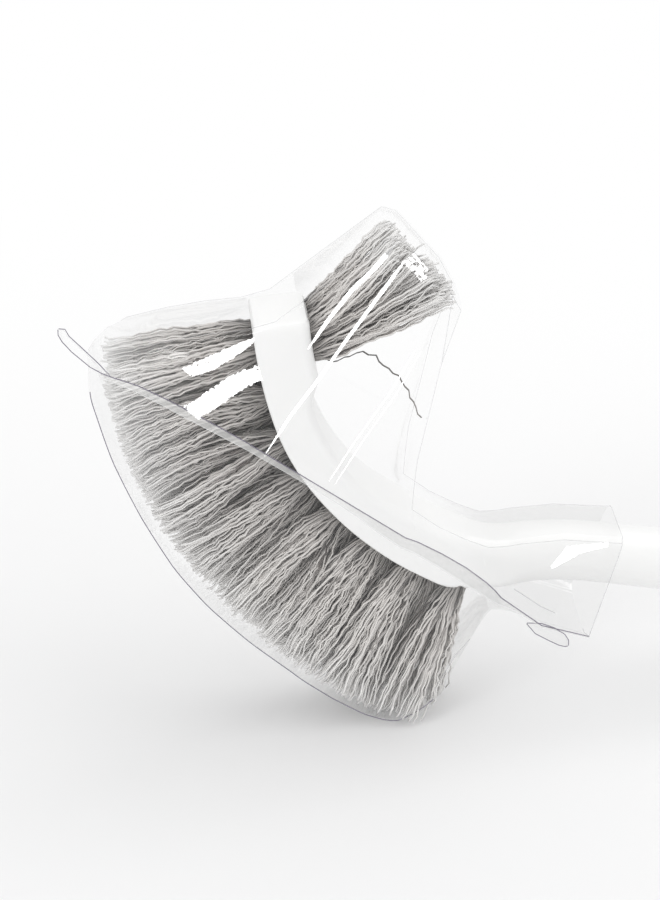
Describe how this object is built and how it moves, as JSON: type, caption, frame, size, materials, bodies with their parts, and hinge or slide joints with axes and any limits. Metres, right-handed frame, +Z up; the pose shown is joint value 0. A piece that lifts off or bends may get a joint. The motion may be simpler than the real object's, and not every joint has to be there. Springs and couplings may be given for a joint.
{
  "type": "toilet brush",
  "caption": "Toilet brush with a curved flat head of crimped bristle tufts, a rim tuft group on the tip, a round straight handle and a clear film cover over the head.",
  "frame": {"origin": "middle of the bounding box in plan, at its lowest point", "axes": "+X from the head towards the end of the handle, +Y away from the side of the film's weld, +Z up as the brush lies"},
  "size_m": [0.4402, 0.0426, 0.1868],
  "materials": {
    "white_plastic": "satin white",
    "bristle_fibre": "warm grey crimped filament",
    "anchor_steel": "plain",
    "clear_film": "clear thin film"
  },
  "bodies": {
    "root": {"head_and_handle": "white_plastic", "tuft_near_1": "bristle_fibre", "tuft_near_2": "bristle_fibre", "tuft_near_3": "bristle_fibre", "tuft_near_4": "bristle_fibre", "tuft_near_5": "bristle_fibre", "tuft_near_6": "bristle_fibre", "tuft_near_7": "bristle_fibre", "tuft_near_8": "bristle_fibre", "tuft_middle_1": "bristle_fibre", "tuft_middle_2": "bristle_fibre", "tuft_middle_3": "bristle_fibre", "tuft_middle_4": "bristle_fibre", "tuft_middle_5": "bristle_fibre", "tuft_middle_6": "bristle_fibre", "tuft_middle_7": "bristle_fibre", "tuft_far_1": "bristle_fibre", "tuft_far_2": "bristle_fibre", "tuft_far_3": "bristle_fibre", "tuft_far_4": "bristle_fibre", "tuft_far_5": "bristle_fibre", "tuft_far_6": "bristle_fibre", "tuft_far_7": "bristle_fibre", "tuft_far_8": "bristle_fibre", "tuft_rim_1": "bristle_fibre", "tuft_rim_2": "bristle_fibre", "tuft_rim_3": "bristle_fibre", "tuft_rim_4": "bristle_fibre", "anchor_near_1": "anchor_steel", "anchor_near_2": "anchor_steel", "anchor_near_3": "anchor_steel", "anchor_near_4": "anchor_steel", "anchor_near_5": "anchor_steel", "anchor_near_6": "anchor_steel", "anchor_near_7": "anchor_steel", "anchor_near_8": "anchor_steel", "anchor_middle_1": "anchor_steel", "anchor_middle_2": "anchor_steel", "anchor_middle_3": "anchor_steel", "anchor_middle_4": "anchor_steel", "anchor_middle_5": "anchor_steel", "anchor_middle_6": "anchor_steel", "anchor_middle_7": "anchor_steel", "anchor_far_1": "anchor_steel", "anchor_far_2": "anchor_steel", "anchor_far_3": "anchor_steel", "anchor_far_4": "anchor_steel", "anchor_far_5": "anchor_steel", "anchor_far_6": "anchor_steel", "anchor_far_7": "anchor_steel", "anchor_far_8": "anchor_steel", "anchor_rim_1": "anchor_steel", "anchor_rim_2": "anchor_steel", "anchor_rim_3": "anchor_steel", "anchor_rim_4": "anchor_steel", "film_cover": "clear_film"}
  },
  "joints": []
}
